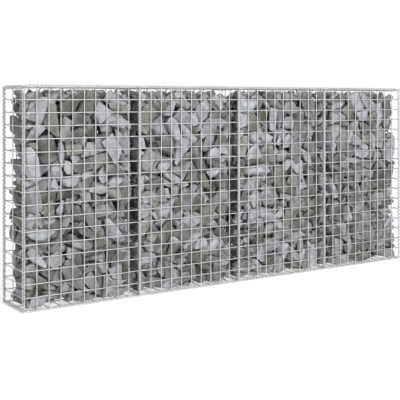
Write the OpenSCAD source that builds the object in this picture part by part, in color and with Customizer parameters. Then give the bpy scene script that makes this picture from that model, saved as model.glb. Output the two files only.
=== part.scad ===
// Gabion wall: stone fill held in bays of welded wire mesh, with every mesh
// edge laced to its neighbour by a wire spiral. Millimetres, +Z up. The origin
// is on the ground under the middle of the wall; X runs along the wall and the
// front looks towards -Y.

/* [Wall] */
// Number of bays side by side
bays = 4; // [2:1:5]
// Length of one bay, from one lacing line to the next
bay_l = 500; // [300:10:800]
// Depth of the wall, from the front lacing line to the back one
wall_d = 200; // [150:10:400]
// Height of the wall, from the ground to the top of the lacing
wall_h = 860; // [400:10:1200]

/* [Mesh] */
// Thickness of the welded mesh wire, across its flats
wire_d = 4; // [3:0.1:5]
// Depth that two crossing wires sink into each other at their weld
weld_sink = 0.8; // [0.4:0.1:1]
// Cell size of the front and back mesh, and row height of every upright mesh
cell = 50; // [40:5:100]
// Cell width of the end, partition, cover and base mesh, across the wall
wide_cell = 100; // [50:5:150]
// Clear gap between the wires of neighbouring panels
wire_gap = 0.4; // [0.2:0.1:1]

/* [Lacing] */
// Thickness of the spiral wire
lace_d = 2.5; // [2:0.1:3.5]
// Room between the laced wires and the inside of a spiral
lace_room = 0.2; // [0.1:0.1:1]
// Gap between the end of a spiral and the spiral that it meets
lace_gap = 1.5; // [0.5:0.5:5]

/* [Stone fill] */
// Gap between the stones and the front mesh
fill_front_gap = 1; // [0.5:0.5:30]
// Gap between the stones and the back mesh
fill_back_gap = 20; // [0.5:0.5:30]
// Gap between the stones and the left end mesh
fill_left_gap = 9; // [0.5:0.5:60]
// Gap between the stones and the right end mesh
fill_right_gap = 12; // [0.5:0.5:60]
// Gap between the stones and a partition mesh
fill_bay_gap = 4; // [0.5:0.5:20]
// Gap between the stones and the base mesh
fill_base_gap = 4; // [0.5:0.5:20]
// Gap between the stones and the cover mesh
fill_top_gap = 4; // [1:1:60]

/* [Hidden] */
weld_step = wire_d - weld_sink;   // between the middles of two welded layers
half_step = weld_step / 2;
wire_r = wire_d / 2;
mesh_r = half_step + wire_r;      // half the thickness of a welded panel

// How far the edge wires stand in from the lacing lines
joint_in = wire_r + wire_gap;            // front and back panels, at a joint
corner_in = mesh_r + wire_gap;           // front and back panels, at a corner
end_in = wire_r - half_step + wire_gap;  // end panels
inner_in = mesh_r + wire_gap + wire_r;   // partition, cover and base panels

// The two wires that each kind of spiral takes in, from the lacing line
corner_wires = [[corner_in, -half_step], [-half_step, end_in]];
edge_wires = [[half_step, 0], [inner_in, 0]];
side_wires = [[half_step, 0], [inner_in, weld_step]];

function middle(pair) = (pair[0] + pair[1]) / 2;
function reach(pair) = norm(pair[0] - pair[1]) / 2 + wire_r;

corner_axis = middle(corner_wires);
edge_axis = middle(edge_wires);
side_axis = middle(side_wires);
bore_r = max(reach(corner_wires), reach(edge_wires), reach(side_wires)) + lace_room;
lace_r = bore_r + lace_d;

// A spiral that takes in three wires is oblong
joint_axis = [0, (inner_in - half_step) / 2];
joint_bore = [joint_in, inner_in - joint_axis[1]] + (wire_r + lace_room) * [1, 1];
flat_bore = [inner_in, side_axis[1]] + (wire_r + lace_room) * [1, 1];
bevel = 2 - sqrt(2);              // corner cut of an octagon of half width 1

row_low = lace_r;                 // height of the lowest row of wires
row_high = wall_h - lace_r;       // height of the highest row of wires
rows_h = row_high - row_low;
rows = round(rows_h / cell);
bay_cells = round(bay_l / cell);
deep_cells = max(1, round(wall_d / wide_cell));
wall_l = bays * bay_l;

// Where a sleeve opens for the wires that pass into it
rail_edge = half_step - wire_r - wire_gap;
side_edge = -side_axis[1] - wire_r - wire_gap;
far = 4 * lace_r;                 // past the outside of every sleeve

steel = [0.72, 0.73, 0.74];
lacing = [0.60, 0.61, 0.63];
stone = [0.52, 0.52, 0.53];

function numbered(name, count) = [for (i = [1:count]) str(name, "_", i)];

// X of lacing line i: line 1 is the left end, and line bays + 1 the right end
function line_x(i) = (i - 1) * bay_l - wall_l / 2;

// How far a front panel's edge wire stands in from line i
function edge_in(i) = (i == 1 || i == bays + 1) ? corner_in : joint_in;

// ---- welded mesh ----

// Eight-sided wire along +Z
module wire(length) {
    rotate(22.5)
        cylinder(h = length, r = wire_r / cos(22.5), $fn = 8);
}

// Mesh in the XZ plane, its rails one weld step behind its uprights
module mesh(width, height, columns, levels) {
    for (i = [0:columns])
        translate([i * width / columns, -half_step, 0])
            wire(height);
    for (j = [0:levels])
        translate([0, half_step, j * height / levels])
            rotate([0, 90, 0])
                wire(width);
}

module front_panel(bay) {
    left = line_x(bay) + edge_in(bay);
    right = line_x(bay + 1) - edge_in(bay + 1);
    color(steel)
        translate([left, -wall_d / 2, row_low])
            mesh(right - left, rows_h, bay_cells, rows);
}

module back_panel(bay) {
    mirror([0, 1, 0])
        front_panel(bay);
}

// Mesh across the wall at x, its uprights on the -X side
module cross_mesh(x, inset) {
    color(steel)
        translate([x, inset - wall_d / 2, row_low])
            mirror([1, -1, 0])
                mesh(wall_d - 2 * inset, rows_h, deep_cells, rows);
}

module left_end_panel() {
    cross_mesh(line_x(1), end_in);
}

module right_end_panel() {
    mirror([1, 0, 0])
        left_end_panel();
}

// Partition between a bay and the next one
module partition_panel(bay) {
    cross_mesh(line_x(bay + 1), inner_in);
}

// Long wires below, and cross wires one weld step above them
module base_panel(bay) {
    deep = wall_d - 2 * inner_in;
    color(steel)
        translate([line_x(bay) + inner_in, -deep / 2, row_low + half_step])
            rotate([-90, 0, 0])
                mesh(bay_l - 2 * inner_in, deep, bay_cells, deep_cells);
}

// The cover is a base panel turned over
module cover_panel(bay) {
    translate([0, 0, wall_h])
        mirror([0, 0, 1])
            base_panel(bay);
}

// ---- stone fill ----

// Envelope of the loose stones in a bay
module stone_fill(bay) {
    left = line_x(bay) + mesh_r + (bay == 1 ? fill_left_gap : fill_bay_gap);
    right = line_x(bay + 1) - mesh_r - (bay == bays ? fill_right_gap : fill_bay_gap);
    front = -wall_d / 2 + mesh_r + fill_front_gap;
    back = wall_d / 2 - mesh_r - fill_back_gap;
    bottom = row_low + weld_step + wire_r + fill_base_gap;
    top = row_high - weld_step - wire_r - fill_top_gap;
    color(stone)
        translate([left, front, bottom])
            cube([right - left, back - front, top - bottom]);
}

// ---- lacing spirals ----
// Each is the eight-sided sleeve of the coil, open where mesh wires pass into it.

// Rectangle of the given half sizes with its corners cut off
module outline(half, cut) {
    polygon([
        for (p = [[1, 1, 0, 1], [1, 1, 1, 0], [1, -1, 1, 0], [1, -1, 0, 1],
                  [-1, -1, 0, 1], [-1, -1, 1, 0], [-1, 1, 1, 0], [-1, 1, 0, 1]])
            [p[0] * (half[0] - p[3] * cut), p[1] * (half[1] - p[2] * cut)]
    ]);
}

// Sleeve along Z, open from one corner point outwards to +X and +Y
module sleeve(bore, cut, length, open_from) {
    color(lacing)
        linear_extrude(height = length, center = true)
            difference() {
                outline(bore + lace_d * [1, 1], cut + lace_d * bevel);
                outline(bore, cut);
                translate(open_from)
                    square(far);
            }
}

module round_sleeve(length, open_from) {
    sleeve(bore_r * [1, 1], bore_r * bevel, length, open_from);
}

module oblong_sleeve(bore, length, open_from) {
    sleeve(bore, (wire_r + lace_room) * bevel, length, open_from);
}

// Turn a sleeve to run along the wall, or across it, with its +Y side up
module along_wall() {
    rotate([90, 0, 90])
        children();
}

module across_wall() {
    rotate([90, 0, 0])
        children();
}

module corner_spiral_front_left() {
    translate([line_x(1) + corner_axis[0], corner_axis[1] - wall_d / 2, wall_h / 2])
        round_sleeve(wall_h, rail_edge * [1, 1] - corner_axis);
}

module corner_spiral_front_right() {
    mirror([1, 0, 0])
        corner_spiral_front_left();
}

module corner_spiral_back_left() {
    mirror([0, 1, 0])
        corner_spiral_front_left();
}

module corner_spiral_back_right() {
    mirror([0, 1, 0])
        corner_spiral_front_right();
}

// Upright spiral between a bay and the next one
module joint_spiral_front(bay) {
    length = wall_h - 2 * (2 * lace_r + lace_gap);
    translate([line_x(bay + 1), joint_axis[1] - wall_d / 2, wall_h / 2])
        oblong_sleeve(joint_bore, length, [-far / 2, rail_edge - joint_axis[1]]);
}

module joint_spiral_back(bay) {
    mirror([0, 1, 0])
        joint_spiral_front(bay);
}

module base_spiral_front() {
    length = wall_l - 2 * (corner_axis[0] + lace_r + lace_gap);
    translate([0, edge_axis[0] - wall_d / 2, row_low])
        along_wall()
            round_sleeve(length, [-far / 2, -wire_r - wire_gap]);
}

module base_spiral_back() {
    mirror([0, 1, 0])
        base_spiral_front();
}

module base_spiral_left() {
    length = wall_d - 2 * (edge_axis[0] + lace_r + lace_gap);
    translate([line_x(1) + side_axis[0], 0, row_low + side_axis[1]])
        across_wall()
            round_sleeve(length, [-far / 2, side_edge]);
}

module base_spiral_right() {
    mirror([1, 0, 0])
        base_spiral_left();
}

// Spirals under the partitions, between neighbouring base panels
module base_joint_spirals() {
    length = wall_d - 2 * (edge_axis[0] + lace_r + lace_gap);
    for (bay = [1:bays - 1])
        translate([line_x(bay + 1), 0, row_low + side_axis[1]])
            across_wall()
                oblong_sleeve(flat_bore, length, [-far / 2, side_edge]);
}

// The spirals along the covers are those of the base, turned over
module turned_over() {
    translate([0, 0, wall_h])
        mirror([0, 0, 1])
            children();
}

module top_spiral_front() {
    turned_over()
        base_spiral_front();
}

module top_spiral_back() {
    turned_over()
        base_spiral_back();
}

module top_spiral_left() {
    turned_over()
        base_spiral_left();
}

module top_spiral_right() {
    turned_over()
        base_spiral_right();
}

module cover_joint_spirals() {
    turned_over()
        base_joint_spirals();
}

// ---- the wall ----

for (i = [1:bays]) {
    front_panel(i);
    back_panel(i);
    cover_panel(i);
    base_panel(i);
    stone_fill(i);
}
for (i = [1:bays - 1]) {
    partition_panel(i);
    joint_spiral_front(i);
    joint_spiral_back(i);
}
left_end_panel();
right_end_panel();
corner_spiral_front_left();
corner_spiral_front_right();
corner_spiral_back_left();
corner_spiral_back_right();
top_spiral_front();
top_spiral_back();
top_spiral_left();
top_spiral_right();
base_spiral_front();
base_spiral_back();
base_spiral_left();
base_spiral_right();
cover_joint_spirals();
base_joint_spirals();
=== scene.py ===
"""Gabion wall: crushed stone in bays of welded wire mesh, laced with wire spirals."""

import math
import random

import bmesh
import bpy
import numpy as np
from mathutils import Matrix, Quaternion, Vector, noise


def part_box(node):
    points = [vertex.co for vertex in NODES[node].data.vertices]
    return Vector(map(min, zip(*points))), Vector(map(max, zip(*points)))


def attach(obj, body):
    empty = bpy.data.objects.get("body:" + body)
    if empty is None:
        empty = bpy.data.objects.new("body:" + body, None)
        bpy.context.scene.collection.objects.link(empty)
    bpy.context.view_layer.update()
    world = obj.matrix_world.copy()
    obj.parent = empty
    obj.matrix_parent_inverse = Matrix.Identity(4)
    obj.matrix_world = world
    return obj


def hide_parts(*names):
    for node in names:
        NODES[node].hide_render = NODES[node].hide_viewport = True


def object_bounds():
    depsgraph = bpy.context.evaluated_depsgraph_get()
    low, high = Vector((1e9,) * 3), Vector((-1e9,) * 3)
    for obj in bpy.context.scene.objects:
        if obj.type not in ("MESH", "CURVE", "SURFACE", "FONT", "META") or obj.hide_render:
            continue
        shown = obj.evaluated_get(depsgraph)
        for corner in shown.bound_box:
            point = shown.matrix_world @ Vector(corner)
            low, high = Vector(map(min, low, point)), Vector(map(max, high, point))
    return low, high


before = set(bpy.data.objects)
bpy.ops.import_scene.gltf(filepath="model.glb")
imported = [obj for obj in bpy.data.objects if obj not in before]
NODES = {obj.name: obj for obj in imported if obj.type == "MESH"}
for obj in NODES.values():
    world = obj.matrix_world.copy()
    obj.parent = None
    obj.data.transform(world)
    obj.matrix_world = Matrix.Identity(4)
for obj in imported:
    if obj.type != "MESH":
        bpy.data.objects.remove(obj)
cad_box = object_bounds()

# ---- driving sizes, in metres ----

WIRE_R = 0.002            # mesh wire
LACE_WIRE_R = 0.00125     # spiral wire
CELL = 0.050              # mesh cell along the wall and up it
WIDE_CELL = 0.100         # mesh cell across the wall
BORE_R = 0.005246         # inside of a round spiral
JOINT_BORE = (0.0046, 0.0060)   # inside of an upright joint spiral, along and across
FLAT_BORE = (0.0082, 0.0038)    # inside of a joint spiral in the cover or base
TURNS_PER_CELL = 3
ACROSS, DEEP, UP = 0, 1, 2

BAYS = sum(name.startswith("stone_fill_") for name in NODES)


# ---- meshes from arrays ----

def joined(parts):
    """One set of points and faces from several, each (points, faces of one size, ...)."""
    points, faces, start = [], {3: [], 4: []}, 0
    for some_points, *some_faces in parts:
        points.append(some_points)
        for block in some_faces:
            faces[block.shape[1]].append(block + start)
        start += len(some_points)
    blocks = [np.concatenate(blocks) for blocks in faces.values() if blocks]
    return (np.concatenate(points), *blocks)


def mesh_from(name, points, *blocks):
    """Mesh with these points, kept inside the wall's overall box, and these blocks of faces,
    each block with equally many corners a face."""
    mesh = bpy.data.meshes.new(name)
    points = points.clip(*cad_box)
    mesh.vertices.add(len(points))
    mesh.vertices.foreach_set("co", points.astype(np.float32).ravel())
    sizes = np.concatenate([np.full(len(b), b.shape[1], np.int32) for b in blocks])
    corners = np.concatenate([b.ravel() for b in blocks]).astype(np.int32)
    mesh.loops.add(len(corners))
    mesh.loops.foreach_set("vertex_index", corners)
    mesh.polygons.add(len(sizes))
    starts = np.concatenate([[0], np.cumsum(sizes)[:-1]]).astype(np.int32)
    mesh.polygons.foreach_set("loop_start", starts)
    mesh.polygons.foreach_set("use_smooth", np.ones(len(sizes), bool))
    mesh.update(calc_edges=True)
    return mesh


def place(name, mesh, material, replaced):
    """Put a finished piece on the wall."""
    mesh.materials.append(material)
    piece = bpy.data.objects.new(name, mesh)
    bpy.context.scene.collection.objects.link(piece)
    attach(piece, "root")
    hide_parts(*replaced)


def unit(vectors):
    return vectors / np.linalg.norm(vectors, axis=1, keepdims=True)


def tube(path, radius, sides, side_hint):
    """Round wire along a path, closed at both ends. side_hint is a direction it never takes."""
    along = unit(np.gradient(path, axis=0))
    side = unit(np.cross(along, side_hint))
    other = np.cross(along, side)
    turn = np.linspace(0, 2 * math.pi, sides, endpoint=False)
    ring = (np.cos(turn)[None, :, None] * side[:, None]
            + np.sin(turn)[None, :, None] * other[:, None])
    points = (path[:, None] + radius * ring).reshape(-1, 3)
    first = np.arange(len(path) - 1)[:, None] * sides
    here, after = np.arange(sides), (np.arange(sides) + 1) % sides
    quads = np.stack([first + here, first + after,
                      first + sides + after, first + sides + here], axis=-1).reshape(-1, 4)
    last = (len(path) - 1) * sides
    low_end = np.stack([np.full(sides, len(points)), after, here], axis=-1)
    high_end = np.stack([np.full(sides, len(points) + 1), last + here, last + after], axis=-1)
    points = np.concatenate([points, path[:1], path[-1:]])
    return points, quads, np.concatenate([low_end, high_end])


# ---- welded mesh ----

WIRE_SIDES = 8
WEAVE = 0.0005            # how far a crossing strays from the drawn grid
CUT_STRAY = 0.0006        # how far a cut end strays from the edge wire
WELD_HALF_WIDTH = 0.0027
WELD_HALF_DEPTH = 0.0017
WELD_SPREAD = (0.85, 1.12)      # smallest and largest weld, for one of plain size


def bead():
    """Small faceted ball of radius 1, the pattern for a weld."""
    shape = bmesh.new()
    bmesh.ops.create_icosphere(shape, subdivisions=1, radius=1)
    points = np.array([v.co[:] for v in shape.verts])
    faces = np.array([[v.index for v in f.verts] for f in shape.faces])
    shape.free()
    return points, faces


BEAD = bead()


def welded_mesh(name, node, step_axis, run_axis, layer_axis, outer, steps, levels):
    """Welded panel in the box of a CAD panel. Its first wires run along run_axis, a step
    apart, on the lower (-1) or upper (1) side of layer_axis, and the others cross them."""
    rng = np.random.default_rng(sum(map(ord, name)))
    low, high = (np.array(corner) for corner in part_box(node))
    low, high = low + WIRE_R, high - WIRE_R
    runs = np.linspace(low[step_axis], high[step_axis], steps + 1)
    rows = np.linspace(low[run_axis], high[run_axis], levels + 1)
    outside, inside = (low, high) if outer < 0 else (high, low)
    stray = rng.normal(0, WEAVE / 2, (steps + 1, levels + 1, 2)).clip(-WEAVE, WEAVE)
    hint = np.eye(3)[layer_axis]
    parts = []

    def wire(along, fixed, stops, layer, strays, ends_stray):
        """One wire through its crossings, with a point half way along each cell."""
        count = 2 * len(stops) - 1
        path = np.zeros((count, 3))
        across = step_axis if along == run_axis else run_axis
        path[:, along] = np.interp(np.arange(count) / 2, np.arange(len(stops)), stops)
        bent = np.interp(np.arange(count) / 2, np.arange(len(stops)), strays)
        bow = rng.normal(0, WEAVE / 2, count)
        bow[::2] = 0
        path[:, across] = fixed + bent + bow
        path[:, layer_axis] = layer
        path[0, along] += ends_stray[0]
        path[-1, along] += ends_stray[1]
        return tube(path, WIRE_R, WIRE_SIDES, hint)

    for i, x in enumerate(runs):
        parts.append(wire(run_axis, x, rows, outside[layer_axis], stray[i, :, 0],
                          rng.uniform(-CUT_STRAY, CUT_STRAY, 2)))
    for j, z in enumerate(rows):
        parts.append(wire(step_axis, z, runs, inside[layer_axis], stray[:, j, 1],
                          rng.uniform(-CUT_STRAY, CUT_STRAY, 2)))
    middle = (outside[layer_axis] + inside[layer_axis]) / 2
    for i, x in enumerate(runs):
        for j, z in enumerate(rows):
            centre = np.zeros(3)
            centre[step_axis] = x + stray[i, j, 0]
            centre[run_axis] = z + stray[i, j, 1]
            centre[layer_axis] = middle
            size = np.full(3, WELD_HALF_WIDTH)
            size[layer_axis] = WELD_HALF_DEPTH
            parts.append((centre + BEAD[0] * size * rng.uniform(*WELD_SPREAD), BEAD[1]))
    mesh = mesh_from(name, *joined(parts))
    place(name, mesh, MESH_STEEL, [node])


def cells(node, axis, size):
    """How many cells of a size a panel has along an axis."""
    low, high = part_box(node)
    return max(1, round((high[axis] - low[axis]) / size))


def all_panels():
    """Front, back, covers, bases, ends and partitions."""
    for bay in range(1, BAYS + 1):
        for side, outer in (("front", -1), ("back", 1)):
            node = f"{side}_panel_{bay}"
            welded_mesh(f"{side}_mesh_{bay}", node, ACROSS, UP, DEEP, outer,
                        cells(node, ACROSS, CELL), cells(node, UP, CELL))
        for side, outer in (("cover", -1), ("base", 1)):
            node = f"{side}_panel_{bay}"
            welded_mesh(f"{side}_mesh_{bay}", node, ACROSS, DEEP, UP, outer,
                        cells(node, ACROSS, CELL), cells(node, DEEP, WIDE_CELL))
    cross = [("left_end_panel", "left_end_mesh", -1), ("right_end_panel", "right_end_mesh", 1)]
    cross += [(f"partition_panel_{n}", f"partition_mesh_{n}", -1) for n in range(1, BAYS)]
    for node, name, outer in cross:
        welded_mesh(name, node, DEEP, UP, ACROSS, outer,
                    cells(node, DEEP, WIDE_CELL), cells(node, UP, CELL))


# ---- lacing spirals ----

LACE_SIDES = 6
TURN_POINTS = 14
SQUARENESS = 2.6          # 2 is an ellipse, and more fills the corners
START_TURN = 0.375        # of a turn, where a coil starts beside the mesh
SWAY_STEP = 0.00008       # how far a coil wanders from one point to the next
SWAY = 0.0006             # the most that it wanders


def coil(start, end, centre, half, axis, pitch, phase, rng):
    """Spiral wire round a centre line along axis. half is the coil's half width and depth."""
    turns = (end - start) / pitch
    count = int(turns * TURN_POINTS) + 1
    along = np.linspace(start, end, count)
    angle = 2 * math.pi * ((along - phase) / pitch)
    power = 2 / (2 if half[0] == half[1] else SQUARENESS)
    width, depth = np.cos(angle), np.sin(angle)
    width = np.sign(width) * np.abs(width) ** power * half[0]
    depth = np.sign(depth) * np.abs(depth) ** power * half[1]
    sway = np.cumsum(rng.normal(0, SWAY_STEP, (2, count)), axis=1)
    sway -= np.linspace(sway[:, 0], sway[:, -1], count).T
    first, second = [a for a in (0, 1, 2) if a != axis]
    path = np.zeros((count, 3))
    path[:, axis] = along
    path[:, first] = centre[first] + width + sway[0].clip(-SWAY, SWAY)
    path[:, second] = centre[second] + depth + sway[1].clip(-SWAY, SWAY)
    return tube(path, LACE_WIRE_R, LACE_SIDES, np.eye(3)[axis])


def lacing(name, node, axis, runs, half):
    """Spirals that stand for one CAD node. runs is a list of (start, end, centre)."""
    rng = np.random.default_rng(sum(map(ord, name)))
    rows_low, rows_high = ROWS
    pitch = CELL / TURNS_PER_CELL
    phase = 0.0
    if axis == UP:
        levels = round((rows_high - rows_low) / CELL)
        pitch = (rows_high - rows_low) / levels / TURNS_PER_CELL
        phase = rows_low
    phase += pitch * START_TURN
    parts = [coil(start + LACE_WIRE_R, end - LACE_WIRE_R, centre, half, axis, pitch, phase, rng)
             for start, end, centre in runs]
    mesh = mesh_from(name, *joined(parts))
    place(name, mesh, LACING_STEEL, [node])


def all_lacing():
    """Spirals at the corners, the bay joints and round the covers and bases."""
    round_half = (BORE_R + LACE_WIRE_R,) * 2
    outer_r = BORE_R + 2 * LACE_WIRE_R
    joint_half = tuple(b + LACE_WIRE_R for b in JOINT_BORE)
    flat_half = tuple(b + LACE_WIRE_R for b in FLAT_BORE)
    for face in ("front", "back"):
        for side in ("left", "right"):
            node = f"corner_spiral_{face}_{side}"
            low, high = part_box(node)
            lacing(f"corner_lacing_{face}_{side}", node, UP,
                   [(low.z, high.z, (low + high) / 2)], round_half)
        for n in range(1, BAYS):
            node = f"joint_spiral_{face}_{n}"
            low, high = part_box(node)
            depth = JOINT_BORE[1] + 2 * LACE_WIRE_R
            centre = (low + high) / 2
            centre.y = low.y + depth if face == "front" else high.y - depth
            lacing(f"joint_lacing_{face}_{n}", node, UP, [(low.z, high.z, centre)], joint_half)
    for level in ("base", "top"):
        for side in ("front", "back", "left", "right"):
            node = f"{level}_spiral_{side}"
            low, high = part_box(node)
            axis = ACROSS if side in ("front", "back") else DEEP
            centre = (low + high) / 2
            centre.z = low.z + outer_r if level == "base" else high.z - outer_r
            lacing(f"{level}_lacing_{side}", node, axis,
                   [(low[axis], high[axis], centre)], round_half)
    for level, node in (("base", "base_joint_spirals"), ("cover", "cover_joint_spirals")):
        low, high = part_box(node)
        depth = FLAT_BORE[1] + 2 * LACE_WIRE_R
        height = low.z + depth if level == "base" else high.z - depth
        runs = []
        for n in range(1, BAYS):
            joint_low, joint_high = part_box(f"joint_spiral_front_{n}")
            middle = (joint_low.x + joint_high.x) / 2
            runs.append((low.y, high.y, Vector((middle, 0, height))))
        lacing(f"{level}_joint_lacing", node, DEEP, runs, flat_half)


# ---- stones ----

SEED = 11
SHAPES = 34
STONE_SIZE = (0.0225, 0.0445)    # half size of a stone, smallest and largest
FILLER_SIZE = (0.016, 0.029)    # the same for the small ones that level the top
PACKED = 0.60                   # share of a bay that the stones fill
OVERFILL = 1.36                 # volume dropped, for the volume that the bay should hold
FILLERS = 70                    # small stones dropped on each bay
PRESSED = 0.012                 # how far a proud stone is pressed down by the cover
LAYER_DROP = 0.022              # height between one falling stone and the next
DROP_FROM = 0.09                # height of the first
COLUMNS = 3                     # they fall in this many columns along the bay
CLEAR_OF_ENDS = 0.075           # how far from an end the outer falling stones start
SCATTER = 0.01                  # how far a falling stone starts from its column
NEAR_TOP = 0.22                 # stones lying within this of the top carry the small ones
FILLER_DROP_FROM = 0.05         # height of the first small one above the top
FILLER_COLUMNS = 5
FILLER_CLEAR_OF_ENDS = 0.04
FILLER_SCATTER = (0.02, 0.05)   # along the wall and across it
FALL_FRAMES = 92
FILLER_FRAMES = 45
SUBSTEPS = 7
ITERATIONS = 12
MARGIN = 0.003                  # skin of a falling stone
INNER_R = 1.0                   # where the core is a skin inside, for half size 1
LEAST_CORE = 0.5                # smallest share of a stone that the skin leaves
STONE_FRICTION, SIDE_FRICTION = 0.35, 0.15
DAMPING, SPIN_DAMPING = 0.1, 0.2
WALL = 0.30                     # thickness of the sides that hold falling stones
PILE = 6.5                      # height of those sides
RECESS = (0.046, 0.045)         # width and depth kept free beside the next bay
RAGGED = (0.0, 0.016)           # how far stones stand in from an end, least and most
RAGGED_STEP = (0.035, 0.080)    # height of one such stand-in
RAGGED_TO = 1.0                 # height that they reach
BEDDED = 0.010                  # how far the lowest stones settle on the base mesh
FLUSH = 0.006                   # how far the outermost stones lean on an end mesh
BREAKS = (4, 7)                 # chance breaks on a stone, fewest and most
BREAK_DEPTH = (0.36, 0.88)      # distance of a break from the middle of a block of half size 1
ALIKE = 0.62                    # breaks whose directions agree more than this are too alike
STRETCH = ((1.05, 1.65), (0.75, 1.0), (0.5, 0.85))     # length, width and thickness
MERGE = 0.012                   # corners nearer than this are one, on a stone of half size 1
FLAT = math.radians(5)          # facets that meet flatter than this are one
CHAMFER = 0.0016                # width of a chipped edge
SWELL, SWELL_SCALE = 0.0016, 38         # height of uneven facets, and waves in a metre
CHIP, CHIP_SCALE = 0.0008, 130          # the same for small chips
NOISE_STEP = (3.7, 1.3, 7.1)    # keeps the unevenness of one shape unlike the next
FACET_EDGE = 0.032              # longest edge on a finished stone
SPLIT_ROUNDS = 4                # most times that an edge is halved for that
STRAY = 0.010                   # a stone further out than this is taken away


def hull_of(points):
    """Closed hull of some points, with its flat facets made whole."""
    shape = bmesh.new()
    for p in points:
        shape.verts.new(p)
    bmesh.ops.remove_doubles(shape, verts=shape.verts, dist=MERGE)
    found = bmesh.ops.convex_hull(shape, input=shape.verts)
    spare = {g for g in found["geom_interior"] + found["geom_unused"]
             if isinstance(g, bmesh.types.BMVert)}
    bmesh.ops.delete(shape, geom=list(spare), context="VERTS")
    bmesh.ops.dissolve_limit(shape, angle_limit=FLAT, verts=shape.verts, edges=shape.edges)
    return shape


def split_stone(rng):
    """Broken stone about 2 across: a block cut by chance flat breaks."""
    breaks = []
    wanted = rng.randint(*BREAKS)
    while len(breaks) < wanted:
        way = Vector([rng.gauss(0, 1) for _ in range(3)]).normalized()
        if all(way.dot(other) < ALIKE for other, _ in breaks):
            breaks.append((way, rng.uniform(*BREAK_DEPTH)))
    for axis in (ACROSS, DEEP, UP):
        for sign in (-1, 1):
            way = Vector((0, 0, 0))
            way[axis] = sign
            breaks.append((way, 1.0))
    # The corners of the stone are the facets of the hull of way / distance, turned inside out.
    dual = bmesh.new()
    for way, distance in breaks:
        dual.verts.new(way / distance)
    bmesh.ops.convex_hull(dual, input=dual.verts)
    corners = []
    for facet in dual.faces:
        facet.normal_update()
        reach = facet.normal.dot(facet.verts[0].co)
        if reach > 1e-6:
            corners.append(facet.normal / reach)
    dual.free()
    stretch = Vector([rng.uniform(*limits) for limits in STRETCH])
    return hull_of([Vector([c[i] * stretch[i] for i in range(3)]) for c in corners])


def rough_stone(block, size, seed):
    """Points and triangles of the same stone with chipped edges and uneven facets."""
    shape = block.copy()
    bmesh.ops.bevel(shape, geom=shape.edges[:], offset=CHAMFER / size, segments=1,
                    profile=0.55, affect="EDGES", clamp_overlap=True)
    bmesh.ops.triangulate(shape, faces=shape.faces[:])
    for _ in range(SPLIT_ROUNDS):
        long_edges = [e for e in shape.edges if e.calc_length() * size > FACET_EDGE]
        if not long_edges:
            break
        bmesh.ops.subdivide_edges(shape, edges=long_edges, cuts=1)
        bmesh.ops.triangulate(shape, faces=[f for f in shape.faces if len(f.verts) > 3])
    shape.normal_update()
    offset = Vector([seed * step for step in NOISE_STEP])
    for v in shape.verts:
        here = v.co * size
        swell = noise.noise(here * SWELL_SCALE + offset) * SWELL
        chip = noise.fractal(here * CHIP_SCALE + offset, 0.9, 2.0, 3) * CHIP
        v.co += v.normal * (swell + chip) / size
    points = np.array([v.co[:] for v in shape.verts])
    for i, v in enumerate(shape.verts):
        v.index = i
    triangles = np.array([[v.index for v in f.verts] for f in shape.faces])
    shape.free()
    return points, triangles


def box_block(name, low, high):
    """Fixed box that holds falling stones. Its mesh is centred on its origin."""
    shape = bmesh.new()
    bmesh.ops.create_cube(shape, size=1)
    bmesh.ops.scale(shape, vec=high - low, verts=shape.verts)
    mesh = bpy.data.meshes.new(name)
    shape.to_mesh(mesh)
    shape.free()
    block = bpy.data.objects.new(name, mesh)
    block.location = (low + high) / 2
    bpy.context.scene.collection.objects.link(block)
    return block


def bay_sides(half_l, half_d, at_end, rng):
    """Floor, sides and recesses of a bay for the fall. An end bay has a ragged left side."""
    t = WALL
    left, right, front, back = -half_l - (FLUSH if at_end else 0), half_l, -half_d, half_d
    corners = [
        ((left - t, front - t, -t), (right + t, back + t, -BEDDED)),
        ((left - t, front - t, -t), (left, back + t, PILE)),
        ((right, front - t, -t), (right + t, back + t, PILE)),
        ((left - t, front - t, -t), (right + t, front, PILE)),
        ((left - t, back, -t), (right + t, back + t, PILE)),
        ((right - RECESS[0], front, -t), (right, front + RECESS[1], PILE)),
    ]
    if not at_end:
        corners.append(((right - RECESS[0], back - RECESS[1], -t), (right, back, PILE)))
    height = -BEDDED
    while at_end and height < RAGGED_TO:
        above = height + rng.uniform(*RAGGED_STEP)
        for near, far in ((front, -half_d / 3), (-half_d / 3, half_d / 3), (half_d / 3, back)):
            corners.append(((left, near, height), (left + rng.uniform(*RAGGED), far, above)))
        height = above
    return [box_block("side", Vector(low), Vector(high)) for low, high in corners]


def stone_body(block, size, at):
    """Plain hull of a stone, as large as its skin leaves it."""
    mesh = bpy.data.meshes.new("falling")
    core = max(LEAST_CORE, 1 - MARGIN / (size * INNER_R))
    mesh.from_pydata([v.co * size * core for v in block.verts], [],
                     [[v.index for v in f.verts] for f in block.faces])
    body = bpy.data.objects.new("falling", mesh)
    bpy.context.scene.collection.objects.link(body)
    body.rotation_mode = "QUATERNION"
    body.matrix_world = at
    return body


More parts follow.
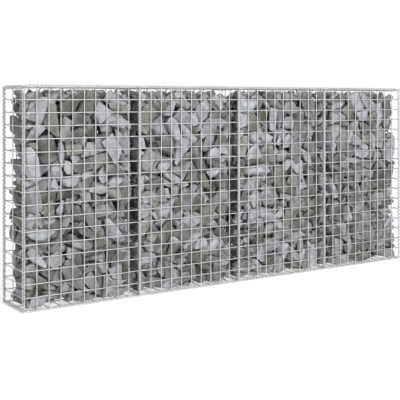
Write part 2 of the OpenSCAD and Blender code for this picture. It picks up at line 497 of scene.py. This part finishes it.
def settle(blocks, sides, resting, falling, frames):
    """Let falling stones come to rest on the resting ones. A stone is (shape, size, place),
    and the new places are given in the same order."""
    scene = bpy.context.scene
    bpy.ops.rigidbody.world_add()
    world = scene.rigidbody_world
    world.collection = bpy.data.collections.new("falling")
    world.substeps_per_frame = SUBSTEPS
    world.solver_iterations = ITERATIONS
    world.point_cache.frame_end = frames
    still = [stone_body(blocks[which], size, at) for which, size, at in resting]
    moving = [stone_body(blocks[which], size, at) for which, size, at in falling]
    for body in sides + still + moving:
        world.collection.objects.link(body)
        body.rigid_body.restitution = 0
        body.rigid_body.use_margin = True
        body.rigid_body.collision_margin = MARGIN
        body.rigid_body.collision_shape = "CONVEX_HULL"
        body.rigid_body.friction = STONE_FRICTION
    for body in sides:
        body.rigid_body.collision_shape = "BOX"
        body.rigid_body.collision_margin = 0
        body.rigid_body.friction = SIDE_FRICTION
    for body in sides + still:
        body.rigid_body.type = "PASSIVE"
    for body in moving:
        body.rigid_body.linear_damping = DAMPING
        body.rigid_body.angular_damping = SPIN_DAMPING
    for step in range(1, frames + 1):
        scene.frame_set(step)
    graph = bpy.context.evaluated_depsgraph_get()
    places = [body.evaluated_get(graph).matrix_world.copy() for body in moving]
    bpy.ops.rigidbody.world_remove()
    for body in still + moving:
        mesh = body.data
        bpy.data.objects.remove(body)
        bpy.data.meshes.remove(mesh)
    bpy.data.collections.remove(bpy.data.collections["falling"])
    scene.frame_set(1)
    return [(which, size, at) for (which, size, _), at in zip(falling, places)]


def spin(rng):
    """A chance rotation."""
    return Quaternion([rng.gauss(0, 1) for _ in range(4)]).normalized().to_matrix().to_4x4()


def reach_of(block, stone):
    """Lowest and highest corner of a stone where it lies."""
    _, size, at = stone
    corners = np.array([at @ (v.co * size) for v in block.verts])
    return corners.min(axis=0), corners.max(axis=0)


def fill_bay(blocks, bay):
    """Drop stones into a bay, take off what stands too high, and level it with small ones.
    Places are from the middle of the bay's floor. Sizes are rounded, so that the fall is
    the same each time."""
    rng = random.Random(SEED + bay)
    low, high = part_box(f"stone_fill_{bay}")
    half_l, half_d, top = (round(size, 4) for size in
                           ((high.x - low.x) / 2, (high.y - low.y) / 2, high.z - low.z))
    sides = bay_sides(half_l, half_d, bay == 1, rng)

    def kept(stones):
        """Stones inside the bay, with those a little proud of it pressed down."""
        held = []
        for stone in stones:
            lowest, highest = reach_of(blocks[stone[0]], stone)
            out = max(-half_l - lowest[0], highest[0] - half_l,
                      -half_d - lowest[1], highest[1] - half_d, -BEDDED - lowest[2])
            proud = highest[2] - top
            if proud < PRESSED and out < STRAY:
                stone[2].translation.z -= max(0, proud)
                held.append(stone)
        return held

    to_fill = 4 * half_l * half_d * top * PACKED * OVERFILL
    volumes = [abs(block.calc_volume()) for block in blocks]
    falling, height = [], DROP_FROM
    while to_fill > 0:
        which, size = rng.randrange(len(blocks)), rng.uniform(*STONE_SIZE)
        to_fill -= volumes[which] * size ** 3
        column = (len(falling) % COLUMNS - COLUMNS // 2) * (half_l - CLEAR_OF_ENDS)
        at = Vector((column + rng.uniform(-SCATTER, SCATTER),
                     rng.uniform(-SCATTER, SCATTER), height))
        falling.append((which, size, Matrix.Translation(at) @ spin(rng)))
        height += LAYER_DROP
    laid = kept(settle(blocks, sides, [], falling, FALL_FRAMES))

    near_top = [stone for stone in laid if stone[2].translation.z > top - NEAR_TOP]
    falling, height = [], top + FILLER_DROP_FROM
    along, across = FILLER_SCATTER
    middle = FILLER_COLUMNS // 2
    for n in range(FILLERS):
        which, size = rng.randrange(len(blocks)), rng.uniform(*FILLER_SIZE)
        column = (n % FILLER_COLUMNS - middle) * (half_l - FILLER_CLEAR_OF_ENDS) / middle
        at = Vector((column + rng.uniform(-along, along), rng.uniform(-across, across), height))
        falling.append((which, size, Matrix.Translation(at) @ spin(rng)))
        height += LAYER_DROP / 2
    laid += kept(settle(blocks, sides, near_top, falling, FILLER_FRAMES))
    for side in sides:
        mesh = side.data
        bpy.data.objects.remove(side)
        bpy.data.meshes.remove(mesh)
    return laid, half_l


def all_stones():
    """Fill the bays. The last mirrors the first end for end. Those between are one bay, as
    it is and mirrored front to back in turn."""
    rng = random.Random(SEED)
    blocks = [split_stone(rng) for _ in range(SHAPES)]
    for block in blocks:
        block.verts.index_update()
    mean_size = sum(STONE_SIZE) / 2
    rough = [rough_stone(block, mean_size, n) for n, block in enumerate(blocks)]
    end_fill = fill_bay(blocks, 1)
    inner_fill = fill_bay(blocks, 2)
    for bay in range(1, BAYS + 1):
        low, high = (np.array(corner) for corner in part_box(f"stone_fill_{bay}"))
        floor_middle = (low + high) / 2 * [1, 1, 0] + [0, 0, low[2]]
        laid, half_l = end_fill if bay in (1, BAYS) else inner_fill
        mirror = np.ones(3)
        if bay == BAYS:
            mirror[ACROSS] = -1
        elif bay > 1 and bay % 2:
            mirror[DEEP] = -1
        flipped = mirror.prod() < 0
        stretch = (high[0] - low[0]) / 2 / half_l
        parts, tones, tints = [], [], []
        for which, size, at in laid:
            middle = np.array(at.translation) * mirror * [stretch, 1, 1] + floor_middle
            points = rough[which][0] * size @ np.array(at.to_3x3()).T * mirror + middle
            points[:, :2] = points[:, :2].clip(low[:2], high[:2])
            points[:, 2] = points[:, 2].clip(low[2], None)
            faces = rough[which][1]
            parts.append((points, faces[:, ::-1] if flipped else faces))
            tones.append(np.full(len(points), rng.random()))
            tints.append(np.full(len(points), rng.random()))
        mesh = mesh_from(f"stones_bay_{bay}", *joined(parts))
        for name, values in (("tone", tones), ("tint", tints)):
            attribute = mesh.attributes.new(name, "FLOAT", "POINT")
            attribute.data.foreach_set("value", np.concatenate(values).astype(np.float32))
        place(f"stones_bay_{bay}", mesh, QUARRY_STONE, [f"stone_fill_{bay}"])
    for block in blocks:
        block.free()


# ---- materials ----

def add_node(tree, kind, inputs=None, **settings):
    """New node with its settings, and its inputs set or linked."""
    made = tree.nodes.new(kind)
    for key, value in settings.items():
        setattr(made, key, value)
    for key, value in (inputs or {}).items():
        if isinstance(value, bpy.types.NodeSocket):
            tree.links.new(value, made.inputs[key])
        else:
            made.inputs[key].default_value = value
    return made


def new_group(name, inputs, outputs):
    """Node group with named sockets. Gives its tree, its input node and its output node."""
    tree = bpy.data.node_groups.new(name, "ShaderNodeTree")
    for label, kind, start in inputs:
        socket = tree.interface.new_socket(label, in_out="INPUT", socket_type=kind)
        if start is not None:
            socket.default_value = start
    for label, kind in outputs:
        tree.interface.new_socket(label, in_out="OUTPUT", socket_type=kind)
    return tree, tree.nodes.new("NodeGroupInput"), tree.nodes.new("NodeGroupOutput")


def use_group(tree, group, inputs):
    return add_node(tree, "ShaderNodeGroup", inputs, node_tree=group)


def math_node(tree, operation, first, second, clamp=False):
    made = tree.nodes.new("ShaderNodeMath")
    made.operation = operation
    made.use_clamp = clamp
    for socket, value in zip(made.inputs, (first, second)):
        if isinstance(value, bpy.types.NodeSocket):
            tree.links.new(value, socket)
        else:
            socket.default_value = value
    return made.outputs["Value"]


def blend_colours(tree, factor, first, second, blend="MIX"):
    made = tree.nodes.new("ShaderNodeMix")
    made.data_type = "RGBA"
    made.blend_type = blend
    for index, value in ((0, factor), (6, first), (7, second)):
        if isinstance(value, bpy.types.NodeSocket):
            tree.links.new(value, made.inputs[index])
        else:
            made.inputs[index].default_value = value
    return made.outputs[2]


def ramp(tree, factor, stops):
    """Colour ramp through (position, colour) stops."""
    made = add_node(tree, "ShaderNodeValToRGB", {"Fac": factor})
    elements = made.color_ramp.elements
    while len(elements) < len(stops):
        elements.new(0.5)
    for element, (position, colour) in zip(elements, stops):
        element.position = position
        element.color = (*colour, 1)
    return made.outputs["Color"]


def grain_group():
    """Grain: fine speckle and soft mottling at a given scale."""
    tree, given, out = new_group(
        "Grain",
        [("Speckle Scale", "NodeSocketFloat", 600.0), ("Mottle Scale", "NodeSocketFloat", 40.0)],
        [("Speckle", "NodeSocketFloat"), ("Mottle", "NodeSocketFloat")])
    here = add_node(tree, "ShaderNodeTexCoord").outputs["Object"]
    speckle = add_node(tree, "ShaderNodeTexNoise",
                       {"Vector": here, "Scale": given.outputs["Speckle Scale"],
                        "Detail": 3.0, "Roughness": 0.7})
    mottle = add_node(tree, "ShaderNodeTexNoise",
                      {"Vector": here, "Scale": given.outputs["Mottle Scale"],
                       "Detail": 5.0, "Roughness": 0.6, "Distortion": 0.6})
    tree.links.new(speckle.outputs["Fac"], out.inputs["Speckle"])
    tree.links.new(mottle.outputs["Fac"], out.inputs["Mottle"])
    return tree


def dust_group():
    """Dust: pale powder that lies on faces that look up."""
    tree, given, out = new_group(
        "Dust",
        [("Color", "NodeSocketColor", None), ("Dust Color", "NodeSocketColor", None),
         ("Amount", "NodeSocketFloat", 0.5)],
        [("Color", "NodeSocketColor"), ("Mask", "NodeSocketFloat")])
    face = add_node(tree, "ShaderNodeNewGeometry")
    upward = add_node(tree, "ShaderNodeSeparateXYZ", {"Vector": face.outputs["Normal"]})
    lies = add_node(tree, "ShaderNodeMapRange",
                    {"Value": upward.outputs["Z"], "From Min": 0.15, "From Max": 0.95},
                    interpolation_type="SMOOTHSTEP")
    here = add_node(tree, "ShaderNodeTexCoord").outputs["Object"]
    patches = add_node(tree, "ShaderNodeTexNoise",
                       {"Vector": here, "Scale": 90.0, "Detail": 4.0})
    spread = add_node(tree, "ShaderNodeMapRange",
                      {"Value": patches.outputs["Fac"], "From Min": 0.35, "From Max": 0.65})
    mask = math_node(tree, "MULTIPLY", lies.outputs["Result"], spread.outputs["Result"])
    mask = math_node(tree, "MULTIPLY", mask, given.outputs["Amount"], clamp=True)
    colour = blend_colours(tree, mask, given.outputs["Color"], given.outputs["Dust Color"])
    tree.links.new(colour, out.inputs["Color"])
    tree.links.new(mask, out.inputs["Mask"])
    return tree


def worn_edge_group():
    """Worn Edge: lighter colour where an edge stands out."""
    tree, given, out = new_group(
        "Worn Edge",
        [("Color", "NodeSocketColor", None), ("Edge Color", "NodeSocketColor", None),
         ("Amount", "NodeSocketFloat", 0.5)],
        [("Color", "NodeSocketColor"), ("Mask", "NodeSocketFloat")])
    face = add_node(tree, "ShaderNodeNewGeometry")
    edge = add_node(tree, "ShaderNodeMapRange",
                    {"Value": face.outputs["Pointiness"], "From Min": 0.52, "From Max": 0.62},
                    interpolation_type="SMOOTHSTEP")
    mask = math_node(tree, "MULTIPLY", edge.outputs["Result"], given.outputs["Amount"],
                     clamp=True)
    colour = blend_colours(tree, mask, given.outputs["Color"], given.outputs["Edge Color"])
    tree.links.new(colour, out.inputs["Color"])
    tree.links.new(mask, out.inputs["Mask"])
    return tree


def zinc_group():
    """Zinc Coat: spangle and dull patches of hot-dip zinc."""
    tree, given, out = new_group(
        "Zinc Coat",
        [("Bright", "NodeSocketColor", None), ("Dull", "NodeSocketColor", None),
         ("Spangle Scale", "NodeSocketFloat", 250.0)],
        [("Color", "NodeSocketColor"), ("Roughness", "NodeSocketFloat"),
         ("Height", "NodeSocketFloat")])
    here = add_node(tree, "ShaderNodeTexCoord").outputs["Object"]
    flakes = add_node(tree, "ShaderNodeTexVoronoi",
                      {"Vector": here, "Scale": given.outputs["Spangle Scale"]})
    patches = add_node(tree, "ShaderNodeTexNoise",
                       {"Vector": here, "Scale": 60.0, "Detail": 4.0, "Roughness": 0.6})
    flake = add_node(tree, "ShaderNodeSeparateColor", {"Color": flakes.outputs["Color"]})
    mixed = math_node(tree, "MULTIPLY", flake.outputs["Red"], 0.45)
    shade = add_node(tree, "ShaderNodeMapRange",
                     {"Value": patches.outputs["Fac"], "From Min": 0.3, "From Max": 0.7,
                      "To Max": 0.7})
    blend = math_node(tree, "ADD", mixed, shade.outputs["Result"], clamp=True)
    colour = blend_colours(tree, blend, given.outputs["Bright"], given.outputs["Dull"])
    rough = add_node(tree, "ShaderNodeMapRange",
                     {"Value": blend, "To Min": 0.34, "To Max": 0.62})
    tree.links.new(colour, out.inputs["Color"])
    tree.links.new(rough.outputs["Result"], out.inputs["Roughness"])
    tree.links.new(patches.outputs["Fac"], out.inputs["Height"])
    return tree


def new_material(name):
    """Material with a Principled surface. Gives the material, its tree and the surface."""
    material = bpy.data.materials.new(name)
    material.use_nodes = True
    tree = material.node_tree
    return material, tree, tree.nodes["Principled BSDF"]


def wire_steel(name, bright, dull, spangle, dust):
    """Galvanised wire with spangle, dull patches and a little stone dust."""
    material, tree, surface = new_material(name)
    surface.inputs["Metallic"].default_value = 0.75
    zinc = use_group(tree, ZINC, {"Bright": bright, "Dull": dull, "Spangle Scale": spangle})
    worn = use_group(tree, WORN_EDGE, {"Color": zinc.outputs["Color"],
                                       "Edge Color": (0.82, 0.83, 0.84, 1), "Amount": 0.35})
    dusty = use_group(tree, DUST, {"Color": worn.outputs["Color"],
                                   "Dust Color": (0.62, 0.60, 0.56, 1), "Amount": dust})
    grain = use_group(tree, GRAIN, {"Speckle Scale": 900.0, "Mottle Scale": 120.0})
    dull_dust = math_node(tree, "MULTIPLY", dusty.outputs["Mask"], 0.4)
    rough = math_node(tree, "ADD", zinc.outputs["Roughness"], dull_dust, clamp=True)
    relief = math_node(tree, "ADD", grain.outputs["Speckle"], zinc.outputs["Height"])
    bump = add_node(tree, "ShaderNodeBump",
                    {"Height": relief, "Strength": 0.25, "Distance": 0.0002})
    tree.links.new(dusty.outputs["Color"], surface.inputs["Base Color"])
    tree.links.new(rough, surface.inputs["Roughness"])
    tree.links.new(bump.outputs["Normal"], surface.inputs["Normal"])
    return material


def quarry_stone():
    """Crushed grey stone: each piece has its own tone and tint."""
    material, tree, surface = new_material("quarry_stone")
    surface.inputs["Specular IOR Level"].default_value = 0.25
    tone = add_node(tree, "ShaderNodeAttribute", attribute_name="tone").outputs["Fac"]
    tint = add_node(tree, "ShaderNodeAttribute", attribute_name="tint").outputs["Fac"]
    grain = use_group(tree, GRAIN, {"Speckle Scale": 420.0, "Mottle Scale": 34.0})
    cool = ramp(tree, tone, [(0.0, (0.105, 0.107, 0.104)), (0.3, (0.212, 0.217, 0.223)),
                             (0.6, (0.322, 0.329, 0.354)), (1.0, (0.425, 0.436, 0.477))])
    warm = ramp(tree, tone, [(0.0, (0.075, 0.073, 0.061)), (0.5, (0.155, 0.15, 0.132)),
                             (1.0, (0.27, 0.264, 0.247))])
    which = ramp(tree, tint, [(0.66, (0, 0, 0)), (0.70, (1, 1, 1))])
    colour = blend_colours(tree, which, cool, warm)
    mottle = ramp(tree, grain.outputs["Mottle"], [(0.32, (0.58, 0.575, 0.56)),
                                                  (0.66, (1.16, 1.16, 1.16))])
    colour = blend_colours(tree, 1.0, colour, mottle, "MULTIPLY")
    speckle = ramp(tree, grain.outputs["Speckle"], [(0.3, (0.78, 0.78, 0.77)),
                                                    (0.7, (1.14, 1.14, 1.14))])
    colour = blend_colours(tree, 1.0, colour, speckle, "MULTIPLY")
    worn = use_group(tree, WORN_EDGE, {"Color": colour, "Edge Color": (0.62, 0.62, 0.63, 1),
                                       "Amount": 0.35})
    dusty = use_group(tree, DUST, {"Color": worn.outputs["Color"],
                                   "Dust Color": (0.60, 0.59, 0.57, 1), "Amount": 0.35})
    rough = add_node(tree, "ShaderNodeMapRange",
                     {"Value": grain.outputs["Speckle"], "To Min": 0.72, "To Max": 1.0})
    relief = math_node(tree, "ADD", grain.outputs["Speckle"], grain.outputs["Mottle"])
    bump = add_node(tree, "ShaderNodeBump",
                    {"Height": relief, "Strength": 0.6, "Distance": 0.0012})
    tree.links.new(dusty.outputs["Color"], surface.inputs["Base Color"])
    tree.links.new(rough.outputs["Result"], surface.inputs["Roughness"])
    tree.links.new(bump.outputs["Normal"], surface.inputs["Normal"])
    return material


FLOOR_GLOW = 0.52         # keeps the floor pale under the wall


def studio_floor():
    """Pale matt floor, a little cloudy."""
    material, tree, surface = new_material("studio_floor")
    here = add_node(tree, "ShaderNodeTexCoord").outputs["Object"]
    cloud = add_node(tree, "ShaderNodeTexNoise", {"Vector": here, "Scale": 0.8})
    colour = ramp(tree, cloud.outputs["Fac"], [(0.0, (0.90, 0.90, 0.90)),
                                               (1.0, (0.93, 0.93, 0.93))])
    tree.links.new(colour, surface.inputs["Base Color"])
    surface.inputs["Roughness"].default_value = 0.9
    surface.inputs["Emission Color"].default_value = (1, 1, 1, 1)
    surface.inputs["Emission Strength"].default_value = FLOOR_GLOW
    return material


# ---- studio ----

SURROUNDINGS = 0.52       # light from all round, for white as the camera sees it
KEY_AT = (-0.6, -4.2, 2.6)
KEY_TARGET = (0, 0, 0.4)
KEY_SIZE = 1.6            # metres across
KEY_POWER = 145           # watts
FLOOR_R = 60
FLOOR_DROP = 0.0005       # floor below the lowest wire
CAMERA_AT = (-2.228, -3.119, 0.8026)
CAMERA_TURN = -33.82      # degrees from facing along the wall's depth
CAMERA_LENS, CAMERA_SENSOR = 76.9, 36   # millimetres
CAMERA_SHIFT = -0.251     # keeps the uprights upright with the wall in frame


def soft_light(name, stands_at, target, size, power):
    """Round soft light that faces its target."""
    light = bpy.data.lights.new(name, "AREA")
    light.shape = "DISK"
    light.size = size
    light.energy = power
    lamp = bpy.data.objects.new(name, light)
    lamp.location = stands_at
    lamp.rotation_euler = (Vector(target) - Vector(stands_at)).to_track_quat("-Z", "Y").to_euler()
    bpy.context.scene.collection.objects.link(lamp)


def studio():
    """Pale floor, even white surroundings, one soft light and the camera."""
    scene = bpy.context.scene
    scene.view_settings.view_transform = "Standard"
    world = bpy.data.worlds.new("studio")
    world.use_nodes = True
    tree = world.node_tree
    sky = tree.nodes["Background"]
    sky.inputs["Color"].default_value = (1, 1, 1, 1)
    sight = add_node(tree, "ShaderNodeLightPath").outputs["Is Camera Ray"]
    level = add_node(tree, "ShaderNodeMapRange", {"Value": sight, "To Min": SURROUNDINGS,
                                                  "To Max": 1.0})
    tree.links.new(level.outputs["Result"], sky.inputs["Strength"])
    scene.world = world
    shape = bmesh.new()
    bmesh.ops.create_circle(shape, cap_ends=True, segments=96, radius=FLOOR_R)
    mesh = bpy.data.meshes.new("floor")
    shape.to_mesh(mesh)
    shape.free()
    mesh.materials.append(studio_floor())
    floor = bpy.data.objects.new("floor", mesh)
    floor.location.z = -FLOOR_DROP
    scene.collection.objects.link(floor)
    soft_light("key_light", KEY_AT, KEY_TARGET, KEY_SIZE, KEY_POWER)
    camera = bpy.data.cameras.new("camera")
    camera.lens = CAMERA_LENS
    camera.sensor_width = CAMERA_SENSOR
    camera.shift_y = CAMERA_SHIFT
    stand = bpy.data.objects.new("camera", camera)
    stand.location = CAMERA_AT
    stand.rotation_euler = (math.radians(90), 0, math.radians(CAMERA_TURN))
    scene.collection.objects.link(stand)
    scene.camera = stand


GRAIN = grain_group()
DUST = dust_group()
WORN_EDGE = worn_edge_group()
ZINC = zinc_group()
MESH_STEEL = wire_steel("galvanised_mesh_wire", (0.70, 0.70, 0.70, 1),
                        (0.47, 0.475, 0.475, 1), 260.0, 0.25)
LACING_STEEL = wire_steel("galvanised_lacing_wire", (0.70, 0.70, 0.70, 1),
                          (0.46, 0.465, 0.465, 1), 420.0, 0.15)
QUARRY_STONE = quarry_stone()

panel_low, panel_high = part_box("front_panel_1")
ROWS = (panel_low.z + WIRE_R, panel_high.z - WIRE_R)

studio()
all_panels()
all_lacing()
all_stones()
